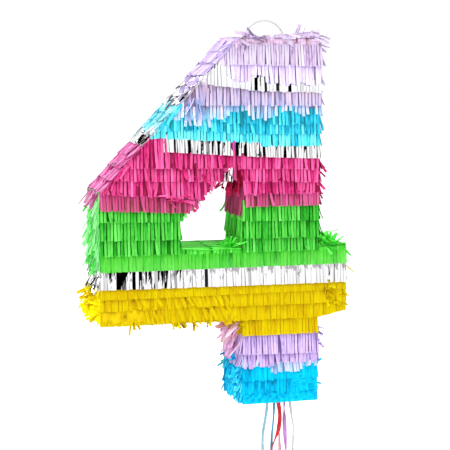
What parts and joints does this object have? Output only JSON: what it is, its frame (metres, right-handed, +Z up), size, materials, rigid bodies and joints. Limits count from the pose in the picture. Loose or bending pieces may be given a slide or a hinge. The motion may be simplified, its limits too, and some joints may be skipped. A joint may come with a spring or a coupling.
{
  "type": "pinata",
  "caption": "Hanging pinata shaped as the figure four: fringed card carton with a wire hanging loop, a fill flap in the back, a trap door under the foot and pull ribbons.",
  "frame": {"origin": "top of the hanging loop, where a hook or a rope carries the part", "axes": "+Z up along the number's height, -Y out of the number's front face, +X to the right as seen from the front"},
  "size_m": [0.289, 0.08, 0.74],
  "materials": {
    "card": "plain brown corrugated card",
    "paper_tape": "gummed kraft paper tape",
    "loop_wire": "white plastic coating on thin wire",
    "lilac_tissue": "thin fringed tissue, slightly see-through",
    "blue_tissue": "thin fringed tissue",
    "pink_tissue": "thin fringed tissue",
    "green_tissue": "thin fringed tissue",
    "yellow_tissue": "thin fringed tissue",
    "mirror_film": "metallised mirror film, cut to a fringe",
    "rose_ribbon": "satin curling ribbon",
    "pale_blue_ribbon": "satin curling ribbon",
    "teal_ribbon": "satin curling ribbon",
    "red_ribbon": "satin curling ribbon",
    "orchid_ribbon": "satin curling ribbon",
    "white_ribbon": "satin curling ribbon"
  },
  "bodies": {
    "hanging_loop": {"hanging_loop": "loop_wire"},
    "carton": {"front_panel": "card", "back_panel": "card", "wall_top": "card", "wall_slope": "card", "wall_left_end": "card", "wall_bar_underside": "card", "wall_foot_left": "card", "foot_floor": "card", "wall_foot_right": "card", "wall_stub_underside": "card", "wall_stub_end": "card", "wall_stub_top": "card", "wall_stem_right": "card", "hole_wall_left": "card", "hole_wall_slope": "card", "hole_wall_right": "card", "hole_wall_bottom": "card", "seam_tapes": "paper_tape", "loop_pad": "card", "loop_tails": "loop_wire", "ribbon_patch": "blue_tissue", "crown_lilac_rows": "lilac_tissue", "upper_film_row": "mirror_film", "shoulder_lilac_rows": "lilac_tissue", "blue_rows": "blue_tissue", "middle_film_row": "mirror_film", "pink_rows": "pink_tissue", "green_rows": "green_tissue", "lower_film_row": "mirror_film", "yellow_rows": "yellow_tissue", "foot_lilac_rows": "lilac_tissue", "foot_blue_rows": "blue_tissue", "pale_blue_ribbon": "pale_blue_ribbon", "teal_ribbon": "teal_ribbon", "red_ribbon": "red_ribbon", "orchid_ribbon": "orchid_ribbon", "white_ribbon": "white_ribbon"},
    "trap_door": {"trap_door": "card", "trap_door_tissue": "blue_tissue", "pull_washer": "card", "pull_knot": "rose_ribbon"},
    "pull_ribbon": {"pull_ribbon": "rose_ribbon"},
    "fill_flap": {"fill_flap": "card", "fill_flap_fringe": "lilac_tissue"}
  },
  "joints": [
    {"name": "carton_swing", "type": "hinge", "parent": "hanging_loop", "child": "carton", "pos_m": [0, 0, -0.0185], "axis": [1, 0, 0], "range_deg": [-75, 75]},
    {"name": "trap_door_hinge", "type": "hinge", "parent": "carton", "child": "trap_door", "pos_m": [0.01, 0.028, -0.438], "axis": [1, 0, 0], "range_deg": [0, 95]},
    {"name": "ribbon_plumb", "type": "hinge", "parent": "trap_door", "child": "pull_ribbon", "pos_m": [0.0185, -0.008, -0.444], "axis": [1, 0, 0], "range_deg": [-95, 0]},
    {"name": "fill_flap_hinge", "type": "hinge", "parent": "carton", "child": "fill_flap", "pos_m": [0.01, 0.037, -0.069], "axis": [1, 0, 0], "range_deg": [0, 95]}
  ],
  "couplings": [
    {"joint": "ribbon_plumb", "follows": "trap_door_hinge", "ratio": -1}
  ]
}
